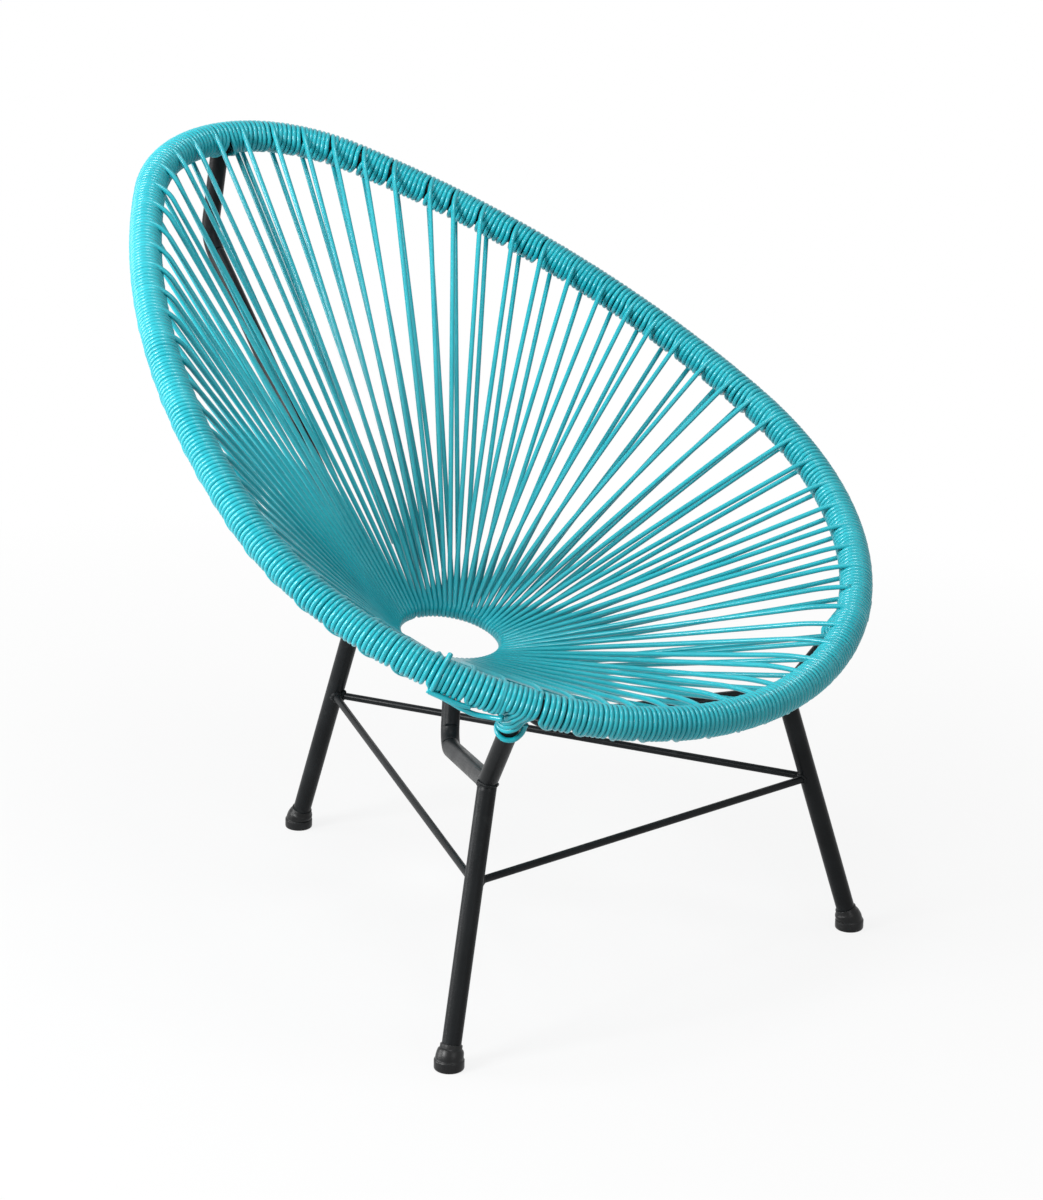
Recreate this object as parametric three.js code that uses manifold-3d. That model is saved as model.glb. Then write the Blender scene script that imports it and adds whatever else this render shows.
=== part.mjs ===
// Acapulco chair: a patio chair whose seat is one long plastic cord, wound round an egg-shaped steel hoop
// and laced down to a small steel ring. Millimetres, +Z up, the front of the chair towards -Y. The origin is
// on the floor, under the middle of the chair. Left and right are those of someone sitting in it: left is +X.
import * as THREE from "three";
import { mergeVertices } from "three/addons/utils/BufferGeometryUtils.js";
import Module from "manifold-3d";

const wasm = await Module();
wasm.setup();

// Rim hoop: a flat egg of four tangent arcs, leaning back
const headBowRadius = 186.7;
const frontBowRadius = 357.6;
const sideBowRadius = 960;
const bowSpacing = 418.9; // from the centre of the head bow to that of the front bow
const rimSlopeDegrees = 26.93;
const rimHeadHeight = 781.4; // middle of the tube at the top of the back
const rimTube = 22;

// Centre ring at the bottom of the bowl
const ringRadius = 65;
const ringBar = 12;
const ringHeight = 302;
const ringSetback = 24; // behind the middle of the rim
const ringTiltDegrees = 13.9; // its back edge is the higher one

// Frame tubes: two bent arms, the spine and three legs
const frameTube = 20;
const tubeWall = 1.5;
const armBendRadius = 28;
const spineBendRadius = 45;
const kneeSpread = 209; // where an arm turns in under the seat, over the top of a front leg
const kneeReach = 281;
const kneeHeight = 277;
const elbowSpread = 60; // where an arm turns up to the centre ring
const elbowReach = 48;
const elbowHeight = 211;
const spineTopSetback = 453; // the bend behind the head
const spineTopHeight = 663;
const spineFootSetback = 166; // the bend over the back leg
const spineFootHeight = 333;

// Feet and tie rods
const frontFootSpread = 286;
const frontFootReach = 319;
const backFootSetback = 285;
const legLift = 8; // from the floor to the middle of the leg's end, inside its cap
const tieRod = 8;
const tieRodHeight = 180;

// Foot caps: an upright puck with a collar that leans with its leg
const capDiameter = 31;
const capBandHeight = 10.5;
const capEdge = 2.5; // radius of the edge on the floor
const capStep = 1.2; // the ridge on top of the band
const capDomeHeight = 19;
const collarDiameter = 23.6;
const collarReach = 26; // up the leg, from the floor

// Cord
const cord = 5.4;
const stationCount = 70; // places on the rim where the cord leaves for the ring
const armStation = 28; // stations from the head to each arm
const armShare = 0.80719758; // of half the rim, from the head to the middle of each arm
const panelStations = 4; // stations laced by one panel, at least
const turnShare = 0.86; // of its arc of the ring that a turn of cord fills
const ribLift = 1.6; // a rib over the groove beside it
const sideRibs = 32; // on each side of the rim, and then between the arms
const frontRibs = 16;
const lashingTurns = 4; // round the rim beside each arm
const turnGap = 0.9; // between the turns of a lashing

// Clearances
const weldGap = 0.3; // where one steel piece is cut to another
const cordGap = 0.3; // from the cord to the steel inside it
const strandGap = 0.8; // from a strand's end to the winding under it
const capGap = 0.3;
const tubeClear = 12.8; // from the axis of an arm or the spine to the first turn of cord

// How finely round shapes are cut
const hoopSides = 10;
const tubeSides = 12;
const rodSides = 8;
const bendSteps = 5;
const barSteps = 40;
const barSides = 8;
const sleeveSides = 8;
const turnSteps = 12;
const turnSides = 6;
const capSides = 16;
const curveSteps = 3;
const boreStations = 2; // from one ring of points in a panel's bore to the next

const v3 = (x, y, z) => new THREE.Vector3(x, y, z);
const radians = THREE.MathUtils.degToRad;
const heading = (from, to) => to.clone().sub(from).normalize();
const along = (point, direction, distance) => point.clone().addScaledVector(direction, distance);
const polygon = (radius, sides) =>
  Array.from({ length: sides }, (_, i) => {
    const angle = (2 * Math.PI * i) / sides;
    return new THREE.Vector2(radius * Math.cos(angle), radius * Math.sin(angle));
  });

const paint = { color: 0x212427, roughness: 0.5, metalness: 0.4 };
const plastic = { color: 0x17191a, roughness: 0.6, metalness: 0 };
const turquoise = { color: 0x1fb4c1, roughness: 0.35, metalness: 0 };

function piece(name, geometry, finish) {
  const mesh = new THREE.Mesh(geometry, new THREE.MeshStandardMaterial(finish));
  mesh.name = name;
  return mesh;
}

// A closed geometry as a solid that can be cut, and back
function solidFrom(geometry) {
  const bare = geometry.clone();
  bare.deleteAttribute("normal");
  bare.deleteAttribute("uv");
  const merged = mergeVertices(bare);
  const vertProperties = merged.attributes.position.array;
  const triVerts = Uint32Array.from(merged.index.array);
  return new wasm.Manifold(new wasm.Mesh({ numProp: 3, vertProperties, triVerts }));
}

function geometryFrom(solid) {
  const mesh = solid.getMesh();
  const shape = new THREE.BufferGeometry();
  shape.setAttribute("position", new THREE.BufferAttribute(mesh.vertProperties, 3));
  shape.setIndex(new THREE.BufferAttribute(mesh.triVerts, 1));
  const faceted = shape.toNonIndexed();
  faceted.computeVertexNormals();
  return faceted;
}

// Cuts one piece to its neighbours, and drops the slivers that a coped tube end sheds
function coped(geometry, ...cutters) {
  const cut = cutters.reduce((solid, cutter) => solid.subtract(solidFrom(cutter)), solidFrom(geometry));
  const parts = cut.decompose().sort((a, b) => b.volume() - a.volume());
  return geometryFrom(parts[0]);
}

// A closed skin over rings of points. The last ring joins the first, and so do the two ends of each ring.
// Seen along the rings, each runs anticlockwise where the skin faces outwards. A strand springs from a patch
// between two rings, where roots holds the four corners of its far end under the key "ring,point". The
// patches that join the last ring to the first are split the other way, so that two sleeves end to end stay
// clear of each other.
function skin(rings, roots = new Map()) {
  const count = rings[0].length;
  const points = rings.flat();
  const faces = [];
  const quad = (a, b, c, d) => faces.push(a, b, c, a, c, d);
  rings.forEach((_, i) => {
    for (let j = 0; j < count; j += 1) {
      const next = (i + 1) % rings.length;
      const turn = (j + 1) % count;
      const patch = [i * count + j, i * count + turn, next * count + turn, next * count + j];
      const tip = roots.get(`${i},${j}`);
      if (tip) {
        const start = points.length;
        points.push(...tip);
        patch.forEach((from, k) => {
          const to = (k + 1) % patch.length;
          quad(from, patch[to], start + to, start + k);
        });
        quad(start, start + 1, start + 2, start + 3);
      } else if (next === 0) {
        const [first, ...others] = patch;
        quad(...others, first);
      } else {
        quad(...patch);
      }
    }
  });
  const shape = new THREE.BufferGeometry().setFromPoints(points);
  shape.setIndex(faces);
  const faceted = shape.toNonIndexed();
  faceted.computeVertexNormals();
  return faceted;
}

// A curve that is straight from each of its points to the next
class PointRun extends THREE.Curve {
  constructor(points) {
    super();
    this.points = points;
  }

  getPoint(t) {
    const place = t * (this.points.length - 1);
    const i = Math.min(Math.floor(place), this.points.length - 2);
    return this.points[i].clone().lerp(this.points[i + 1], place - i);
  }

  getPointAt(t) {
    return this.getPoint(t);
  }

  getTangentAt(t) {
    return this.getTangent(t);
  }
}

// A run of tube: straight between its corners, with a round bend at each inner one
function tubeRun(corners, bendRadius) {
  const last = corners.length - 1;
  const points = corners.flatMap((corner, i) => {
    if (i === 0 || i === last) return [corner];
    const arriving = heading(corners[i - 1], corner);
    const leaving = heading(corner, corners[i + 1]);
    const turn = arriving.angleTo(leaving);
    const axis = arriving.clone().cross(leaving).normalize();
    const inward = leaving.clone().sub(arriving).normalize();
    const centre = along(corner, inward, bendRadius / Math.cos(turn / 2));
    const start = along(corner, arriving, -bendRadius * Math.tan(turn / 2)).sub(centre);
    return Array.from({ length: bendSteps + 1 }, (_, k) =>
      start.clone().applyAxisAngle(axis, (turn * k) / bendSteps).add(centre));
  });
  return new PointRun(points);
}

function tubeAlong(run, radius, sides, boreRadius = 0) {
  const section = new THREE.Shape(polygon(radius, sides));
  if (boreRadius > 0) section.holes.push(new THREE.Path(polygon(boreRadius, sides)));
  return new THREE.ExtrudeGeometry(section, { extrudePath: run, steps: run.points.length - 1 });
}

const tubeRadius = frameTube / 2;
const frameTubeAlong = (run) => tubeAlong(run, tubeRadius, tubeSides, tubeRadius - tubeWall);
const roomFor = (run) => tubeAlong(run, tubeRadius + weldGap, tubeSides);

// The rim's curve, by the distance along it from the middle of the head towards the left. A bow's turn is the
// heading at which it ends
const rimSlope = radians(rimSlopeDegrees);
const headSpan = sideBowRadius - headBowRadius;
const frontSpan = sideBowRadius - frontBowRadius;
const cornerBetween = (a, b, opposite) => Math.acos((a ** 2 + b ** 2 - opposite ** 2) / (2 * a * b));
const headTurn = cornerBetween(headSpan, bowSpacing, frontSpan);
const sideTurn = Math.PI - cornerBetween(frontSpan, bowSpacing, headSpan);
const bows = [
  { radius: headBowRadius, turn: headTurn, across: 0, down: headBowRadius },
  {
    radius: sideBowRadius,
    turn: sideTurn,
    across: -headSpan * Math.sin(headTurn),
    down: headBowRadius + headSpan * Math.cos(headTurn),
  },
  { radius: frontBowRadius, turn: Math.PI, across: 0, down: headBowRadius + bowSpacing },
];
const halfRim = bows.reduce((sum, bow, i) => sum + bow.radius * (bow.turn - (i ? bows[i - 1].turn : 0)), 0);
const rimLength = 2 * halfRim;
const armDistance = armShare * halfRim; // along the rim, from the head to the middle of each arm
const rimRun = (headBowRadius + bowSpacing + frontBowRadius) * Math.cos(rimSlope);
const rimHead = v3(0, rimRun / 2, rimHeadHeight);
const rimDown = v3(0, -Math.cos(rimSlope), -Math.sin(rimSlope));
const rimOver = v3(0, -Math.sin(rimSlope), Math.cos(rimSlope));

function rimAt(distance) {
  const lap = THREE.MathUtils.euclideanModulo(distance, rimLength);
  const onRight = lap > halfRim;
  let left = onRight ? rimLength - lap : lap;
  let turn = 0;
  let bow;
  for (bow of bows) {
    const arc = bow.radius * (bow.turn - turn);
    if (left <= arc) break;
    left -= arc;
    turn = bow.turn;
  }
  turn += left / bow.radius;
  const across = (bow.across + bow.radius * Math.sin(turn)) * (onRight ? -1 : 1);
  const down = bow.down - bow.radius * Math.cos(turn);
  const facing = onRight ? 2 * Math.PI - turn : turn;
  const inPlane = (x, y) => v3(x, 0, 0).addScaledVector(rimDown, y);
  return {
    point: inPlane(across, down).add(rimHead),
    tangent: inPlane(Math.cos(facing), Math.sin(facing)),
    outward: inPlane(Math.sin(facing), -Math.cos(facing)),
  };
}

// A ring of points round the rim's curve
function rimSection(distance, radius, sides) {
  const { point, outward } = rimAt(distance);
  return polygon(radius, sides).map((spot) => along(along(point, outward, spot.x), rimOver, spot.y));
}


// The spacing of the stations on the sides, and of those between the arms
const sideSpacing = armDistance / armStation;
const frontSpacing = (rimLength - 2 * armDistance) / (stationCount - 2 * armStation);

// Distance along the rim of a station, and the station at a distance
function stationAt(station) {
  const inFront = THREE.MathUtils.clamp(station, armStation, stationCount - armStation) - armStation;
  return inFront * frontSpacing + (station - inFront) * sideSpacing;
}

function stationOf(distance) {
  const inFront = THREE.MathUtils.clamp(distance, armDistance, rimLength - armDistance) - armDistance;
  return inFront / frontSpacing + (distance - inFront) / sideSpacing;
}

const rimBore = (rimTube / 2 + cordGap) / Math.cos(Math.PI / sleeveSides);
const woundRadius = rimTube / 2 + cord;

// A solid hoop along the rim's curve, with a ring of points at each station
function hoopOf(radius) {
  const rings = Array.from({ length: stationCount }, (_, i) => rimSection(stationAt(i), radius, hoopSides));
  return skin(rings);
}

// Points inside a winding follow the hoop's own straight facets, and so clear it by the same gap all along
function boreSection(distance) {
  const place = stationOf(distance);
  const before = Math.floor(place);
  const start = rimSection(stationAt(before), rimBore, sleeveSides);
  const end = rimSection(stationAt(before + 1), rimBore, sleeveSides);
  return start.map((point, i) => point.lerp(end[i], place - before));
}

// The winding on one stretch of the rim: an open sleeve whose ribs stand for the turns of cord
function rimWinding(from, to, ribs) {
  const pitch = (to - from) / ribs;
  const outside = Array.from({ length: 2 * ribs + 1 }, (_, i) => {
    const radius = i % 2 ? woundRadius : woundRadius - ribLift;
    return rimSection(from + (pitch * i) / 2, radius, sleeveSides);
  });
  const firstInside = Math.floor(stationOf(from)) + 1;
  const lastInside = Math.ceil(stationOf(to)) - 1;
  const inside = [boreSection(from)];
  for (let i = firstInside; i <= lastInside; i += 1) inside.push(boreSection(stationAt(i)));
  inside.push(boreSection(to));
  return skin([...outside, ...inside.reverse()]);
}

// Beside each arm the cord's last turns run apart from the rest, as one open helix
const lashingPitch = cord + turnGap;
const lashingLength = lashingTurns * lashingPitch + cord;
const lashingRadius = (rimTube / 2 + cordGap + cord / 2) / Math.cos(Math.PI / turnSteps);
const lashingStart = armDistance - tubeClear - lashingLength;

function lashingRun() {
  const start = lashingStart + cord / 2;
  const steps = lashingTurns * turnSteps;
  const points = Array.from({ length: steps + 1 }, (_, i) => {
    const { point, outward } = rimAt(start + (lashingPitch * i) / turnSteps);
    const angle = (2 * Math.PI * i) / turnSteps;
    const out = along(point, outward, lashingRadius * Math.cos(angle));
    return along(out, rimOver, lashingRadius * Math.sin(angle));
  });
  return new PointRun(points);
}

// Least gap between the turns of a lashing, between points at least half a turn apart
function leastGap(points) {
  const apart = Math.floor(turnSteps / 2);
  const gaps = points.flatMap((point, i) => points.slice(i + apart).map((other) => point.distanceTo(other)));
  return Math.min(...gaps) - cord;
}

// The centre ring, and a spot on its bar's section at a station, out from and over the bar's axis
const ringTilt = radians(ringTiltDegrees);
const ringCentre = v3(0, ringSetback, ringHeight);
const ringBack = v3(0, Math.cos(ringTilt), Math.sin(ringTilt));
const ringOver = v3(0, -Math.sin(ringTilt), Math.cos(ringTilt));

function ringSpot(station, out = 0, over = 0) {
  const angle = Math.PI / 2 - (2 * Math.PI * station) / stationCount;
  const radial = v3(Math.cos(angle), 0, 0).addScaledVector(ringBack, Math.sin(angle));
  return along(along(ringCentre, radial, ringRadius + out), ringOver, over);
}

function ringOf(radius) {
  const torus = new THREE.TorusGeometry(ringRadius, radius, barSides, barSteps);
  return torus.rotateX(ringTilt).translate(ringCentre.x, ringCentre.y, ringCentre.z);
}

// Frame
const armCorners = [
  rimAt(armDistance).point,
  v3(kneeSpread, -kneeReach, kneeHeight),
  v3(elbowSpread, -elbowReach, elbowHeight),
  ringSpot(armStation),
];
const spineCorners = [
  rimHead,
  v3(0, spineTopSetback, spineTopHeight),
  v3(0, spineFootSetback, spineFootHeight),
  ringSpot(0),
];
const armRun = tubeRun(armCorners, armBendRadius);
const spineRun = tubeRun(spineCorners, spineBendRadius);
const frontFoot = v3(frontFootSpread, -frontFootReach, 0);
const backFoot = v3(0, backFootSetback, 0);
const frontLegTop = armCorners[1];
const backLegTop = spineCorners[2];
const atHeight = (foot, top, height) => foot.clone().lerp(top, height / top.z);
const legRun = (foot, top) => tubeRun([atHeight(foot, top, legLift), top], 0);
const frontLegRun = legRun(frontFoot, frontLegTop);
const backLegRun = legRun(backFoot, backLegTop);

function bentTube(run) {
  return coped(frameTubeAlong(run), hoopOf(rimTube / 2 + weldGap), ringOf(ringBar / 2 + weldGap));
}

function leg(run, carrier) {
  return coped(frameTubeAlong(run), roomFor(carrier));
}

// A rod between two legs, cut to their walls
function tieRodBetween(start, end, ...legs) {
  const rod = tubeAlong(tubeRun([start, end], 0), tieRod / 2, rodSides);
  return coped(rod, ...legs.map(roomFor));
}

const frontRodEnd = atHeight(frontFoot, frontLegTop, tieRodHeight);
const backRodEnd = atHeight(backFoot, backLegTop, tieRodHeight);

// A foot cap stands upright on its flat sole, and its collar and bore lean with the leg
function footCap(foot, top) {
  const radius = capDiameter / 2;
  const collarRadius = collarDiameter / 2;
  const ridgeRadius = radius - capStep;
  const ridgeHeight = capBandHeight + capStep;
  const profile = new THREE.Path();
  profile.moveTo(0, 0);
  profile.lineTo(radius - capEdge, 0);
  profile.absarc(radius - capEdge, capEdge, capEdge, -Math.PI / 2, 0);
  profile.lineTo(radius, capBandHeight);
  profile.lineTo(ridgeRadius, ridgeHeight);
  const domeWidth = ridgeRadius - tubeRadius;
  profile.absellipse(tubeRadius, ridgeHeight, domeWidth, capDomeHeight - ridgeHeight, 0, Math.PI / 2);
  profile.lineTo(0, capDomeHeight);
  const puck = new THREE.LatheGeometry(profile.getPoints(curveSteps), capSides);
  puck.rotateX(Math.PI / 2).translate(foot.x, foot.y, 0);
  const start = atHeight(foot, top, legLift);
  const collarEnd = atHeight(foot, top, collarReach);
  const collar = tubeAlong(tubeRun([start, collarEnd], 0), collarRadius, capSides);
  const axis = heading(foot, top);
  const bore = tubeRun([along(start, axis, -capGap), along(collarEnd, axis, collarRadius)], 0);
  const room = tubeAlong(bore, tubeRadius + capGap, capSides);
  return geometryFrom(solidFrom(puck).add(solidFrom(collar)).subtract(solidFrom(room)));
}

// Cord panels. A turn of cord round the centre ring has six sides: angles from straight out, towards the top.
// The strand over the rim springs from the side after its second corner, and the one under it from its last
const turnCorners = [5, 65, 125, 185, 245, 305].map(radians);
const overSide = 1;
const underSide = 5;
// How far each corner gives way beside an arm, which comes from below, and beside the spine, from behind
const armYieldShares = [1, 0, 0, 0.4, 1, 1];
const spineYieldShares = [1, 1, 0, 0, 0.4, 1];
const ringArc = (2 * Math.PI * ringRadius) / stationCount;
const yieldStations = tubeClear / ringArc;
const wrapRadius = ringBar / 2 + cord;
const sagOver = (stations) => ringRadius * (1 - Math.cos((Math.PI * stations) / stationCount));
const boreSag = sagOver(boreStations) + sagOver(stationCount / barSteps);
const wrapBore = (ringBar / 2 + cordGap + boreSag) / Math.cos(Math.PI / turnCorners.length);
const strandShare = Math.sqrt(Math.PI) / 2; // side of a square with the area of a circle, over its diameter
const strandHalf = (cord * strandShare) / 2;
const strandLift = woundRadius + cord / 2 + strandGap;

// A ring of points round the bar. Between its two tubes a sector's corners give way by their shares
function wrapSection(sector, station, radius) {
  const share = (station - sector.from) / (sector.to - sector.from);
  return turnCorners.map((angle, i) => {
    const aside = sector.fromYield[i] * (1 - share) - sector.toYield[i] * share;
    const place = station + yieldStations * aside;
    return ringSpot(place, radius * Math.cos(angle), radius * Math.sin(angle));
  });
}

// The four corners of a strand's far end, where it meets the winding over (side 1) or under (side -1) the rim
function strandTip(root, station, side) {
  const { point, tangent } = rimAt(stationAt(station));
  const middle = root.reduce((sum, corner) => sum.add(corner), v3(0, 0, 0)).divideScalar(root.length);
  const direction = heading(middle, point);
  const up = tangent.clone().cross(direction).normalize();
  const across = direction.clone().cross(up);
  const end = along(point, up, side * strandLift);
  const corner = (a, b) => along(along(end, across, a * strandHalf), up, b * strandHalf);
  return [corner(-1, -1), corner(-1, 1), corner(1, 1), corner(1, -1)];
}

function cordPanel(sector, firstStation, lastStation) {
  const margin = (1 - turnShare) / 2;
  const stations = lastStation - firstStation;
  const outside = [];
  const roots = new Map();
  for (let i = 0; i < stations; i += 1) {
    const station = firstStation + i;
    const start = wrapSection(sector, station + margin, wrapRadius);
    const end = wrapSection(sector, station + 1 - margin, wrapRadius);
    [[overSide, 1], [underSide, -1]].forEach(([corner, side]) => {
      const next = (corner + 1) % turnCorners.length;
      const root = [start[corner], start[next], end[next], end[corner]];
      roots.set(`${outside.length},${corner}`, strandTip(root, station + 1 / 2, side));
    });
    outside.push(start, end);
    if (i < stations - 1) outside.push(wrapSection(sector, station + 1, wrapRadius - ribLift));
  }
  const inside = [];
  const boreSteps = Math.ceil(stations / boreStations);
  for (let i = 0; i <= boreSteps; i += 1) {
    const place = THREE.MathUtils.lerp(firstStation + margin, lastStation - margin, i / boreSteps);
    inside.push(wrapSection(sector, place, wrapBore));
  }
  return skin([...outside, ...inside.reverse()], roots);
}

const frontEnd = stationCount - armStation;
const sideSector = { from: 0, to: armStation, fromYield: spineYieldShares, toYield: armYieldShares };
const frontSector = { from: armStation, to: frontEnd, fromYield: armYieldShares, toYield: armYieldShares };

function panels(sector, name) {
  const span = sector.to - sector.from;
  const count = Math.floor(span / panelStations);
  const seam = (i) => sector.from + Math.round((span * i) / count);
  return Array.from({ length: count }, (_, i) =>
    piece(`${name}_${i + 1}`, cordPanel(sector, seam(i), seam(i + 1)), turquoise));
}

// The pieces that the chair has on each side
function sidePieces(side) {
  const winding = rimWinding(tubeClear, lashingStart, sideRibs);
  const lashing = lashingRun();
  console.log(`arm_lashing_${side}: least gap between turns ${leastGap(lashing.points).toFixed(2)} mm`);
  const group = new THREE.Group();
  group.add(
    piece(`front_tube_${side}`, bentTube(armRun), paint),
    piece(`leg_front_${side}`, leg(frontLegRun, armRun), paint),
    piece(`tie_rod_${side}`, tieRodBetween(frontRodEnd, backRodEnd, frontLegRun, backLegRun), paint),
    piece(`foot_cap_front_${side}`, footCap(frontFoot, frontLegTop), plastic),
    piece(`rim_winding_${side}`, winding, turquoise),
    piece(`arm_lashing_${side}`, tubeAlong(lashing, cord / 2, turnSides), turquoise),
    ...panels(sideSector, `cord_panel_${side}`),
  );
  return group;
}

const leftSide = sidePieces("left");
const rightSide = sidePieces("right");
rightSide.scale.x = -1;

const mirrored = (point) => point.clone().setX(-point.x);
const rightLegRun = legRun(mirrored(frontFoot), mirrored(frontLegTop));
const frontRod = tieRodBetween(frontRodEnd, mirrored(frontRodEnd), frontLegRun, rightLegRun);
const frontWinding = rimWinding(armDistance + tubeClear, rimLength - armDistance - tubeClear, frontRibs);
const chair = new THREE.Group();
chair.add(
  piece("rim_hoop", hoopOf(rimTube / 2), paint),
  piece("centre_ring", ringOf(ringBar / 2), paint),
  piece("back_spine", bentTube(spineRun), paint),
  piece("leg_back", leg(backLegRun, spineRun), paint),
  piece("tie_rod_front", frontRod, paint),
  piece("foot_cap_back", footCap(backFoot, backLegTop), plastic),
  piece("rim_winding_front", frontWinding, turquoise),
  ...panels(frontSector, "cord_panel_front"),
  leftSide,
  rightSide,
);

// The chair stands with the middle of its box over the origin
const box = new THREE.Box3().setFromObject(chair);
chair.position.set(0, -(box.min.y + box.max.y) / 2, -box.min.z);

export default chair;
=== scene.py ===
# %% [markdown]
# # A corded patio chair, egg-shaped
# One long plastic cord is wound round an egg-shaped steel hoop and laced down to a small steel ring. Three
# legs, two bent arms and a spine of black powder-coated tube carry it.
#
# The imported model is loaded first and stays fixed. Every surface below is worked out from the chair's own
# measurements, in metres, in the same frame, and takes the place of the plain CAD solid that stands there.

import bpy
import numpy as np
from mathutils import Matrix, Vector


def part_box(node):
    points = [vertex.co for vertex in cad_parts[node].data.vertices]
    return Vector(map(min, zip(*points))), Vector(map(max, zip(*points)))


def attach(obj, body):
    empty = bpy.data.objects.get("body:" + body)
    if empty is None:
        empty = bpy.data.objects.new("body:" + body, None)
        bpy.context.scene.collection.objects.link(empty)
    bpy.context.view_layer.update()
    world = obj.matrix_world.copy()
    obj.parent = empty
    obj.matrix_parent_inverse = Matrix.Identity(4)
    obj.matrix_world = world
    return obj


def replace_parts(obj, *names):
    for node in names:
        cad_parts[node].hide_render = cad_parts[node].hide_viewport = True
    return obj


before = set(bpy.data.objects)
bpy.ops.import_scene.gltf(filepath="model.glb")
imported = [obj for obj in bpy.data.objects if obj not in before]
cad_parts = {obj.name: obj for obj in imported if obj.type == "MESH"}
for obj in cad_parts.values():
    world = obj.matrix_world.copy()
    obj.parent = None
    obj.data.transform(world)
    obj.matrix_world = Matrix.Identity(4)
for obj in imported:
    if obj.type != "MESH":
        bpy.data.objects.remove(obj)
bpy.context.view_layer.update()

# %% [markdown]
# ## The camera
# The photograph was matched by fitting one camera to the rim, the ring, the joints and the feet. It stands
# in front of the chair on its right side, a little above it, and leans by one degree. The long lens is what
# keeps the far side of the rim nearly as large as the near side. A camera can also be aimed at an object by
# a constraint, but one spot and three angles are easier to set against the fit.

# %% Place the camera by its spot and its three angles
PHOTO_WIDTH = 1043
FOCAL_PIXELS = 3936.6
SENSOR = 36.0
azimuth, elevation, roll = np.radians([-41.78, 18.39, 1.33])
camera_spot = np.array([-2.6255, -3.0371, 1.6847])

back = np.array([np.sin(azimuth) * np.cos(elevation), -np.cos(azimuth) * np.cos(elevation),
                 np.sin(elevation)])
level = np.array([np.cos(azimuth), np.sin(azimuth), 0.0])
upright = np.cross(back, level)
camera_right = level * np.cos(roll) + upright * np.sin(roll)
camera_up = upright * np.cos(roll) - level * np.sin(roll)

lens = bpy.data.cameras.new("photo_camera")
lens.sensor_fit = "HORIZONTAL"
lens.sensor_width = SENSOR
lens.lens = FOCAL_PIXELS / PHOTO_WIDTH * SENSOR
lens.clip_end = 60.0
camera = bpy.data.objects.new("photo_camera", lens)
bpy.context.scene.collection.objects.link(camera)
pose = np.eye(4)
pose[:3, 0], pose[:3, 1], pose[:3, 2], pose[:3, 3] = camera_right, camera_up, back, camera_spot
camera.matrix_world = Matrix(pose.tolist())
bpy.context.scene.camera = camera
print("lens", round(lens.lens, 1), "mm")

# %% [markdown]
# ## Two ways to make a surface
# A surface here is a grid of points: one direction runs along the piece and the other round it. A tube is
# such a grid too. Its rings stand square to a path, and a second list of directions says which way is "up"
# at each point of the path, so that the rings never twist. A curve with a round bevel would make a tube as
# well, but it chooses its own twist, and the lines drawn along the cord would turn with it.


# %% Rings of points along a path
def unit(vectors):
    """Each vector divided by its own length."""
    return vectors / np.linalg.norm(vectors, axis=-1, keepdims=True)


def dot(a, b):
    """The sum of the products of the coordinates, kept as a column."""
    return np.sum(a * b, axis=-1, keepdims=True)


def travelled(path):
    """The distance along a path from its first point to each of its points."""
    steps = np.linalg.norm(np.diff(path, axis=0), axis=1)
    return np.concatenate([[0.0], np.cumsum(steps)])


def tube(path, up, radius, sides):
    """Rings of points along a path: path + radius x (cos a x side + sin a x lift). The way of the path at a
    point is the chord between its two neighbours, lift is the part of `up` that is square to it, and side is
    square to both. radius is one number, or a column with one for each point of the path."""
    travel = unit(np.gradient(path, axis=0))
    lift = unit(up - dot(up, travel) * travel)
    side = np.cross(lift, travel)
    angle = np.linspace(0, 2 * np.pi, sides, endpoint=False)[None, :, None]
    round_it = np.cos(angle) * side[:, None] + np.sin(angle) * lift[:, None]
    return path[:, None] + np.broadcast_to(radius, (len(path), sides))[..., None] * round_it


# %% Turn grids of points into closed meshes
def piece_of(name, points, faces, corner_uvs, material):
    """One smooth mesh from lists of points, faces and the faces' corner UVs, riding on the chair's body."""
    mesh = bpy.data.meshes.new(name)
    mesh.from_pydata(np.vstack(points).tolist(), [], faces)
    mesh.polygons.foreach_set("use_smooth", np.ones(len(faces), bool))
    layer = mesh.uv_layers.new(name="UVMap")
    layer.data.foreach_set("uv", np.vstack(corner_uvs).astype(np.float32).ravel())
    mesh.materials.append(material)
    piece = bpy.data.objects.new(name, mesh)
    bpy.context.scene.collection.objects.link(piece)
    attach(piece, "root")
    print(f"{name}: {sum(len(face) - 2 for face in faces)} triangles")
    return piece


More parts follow.
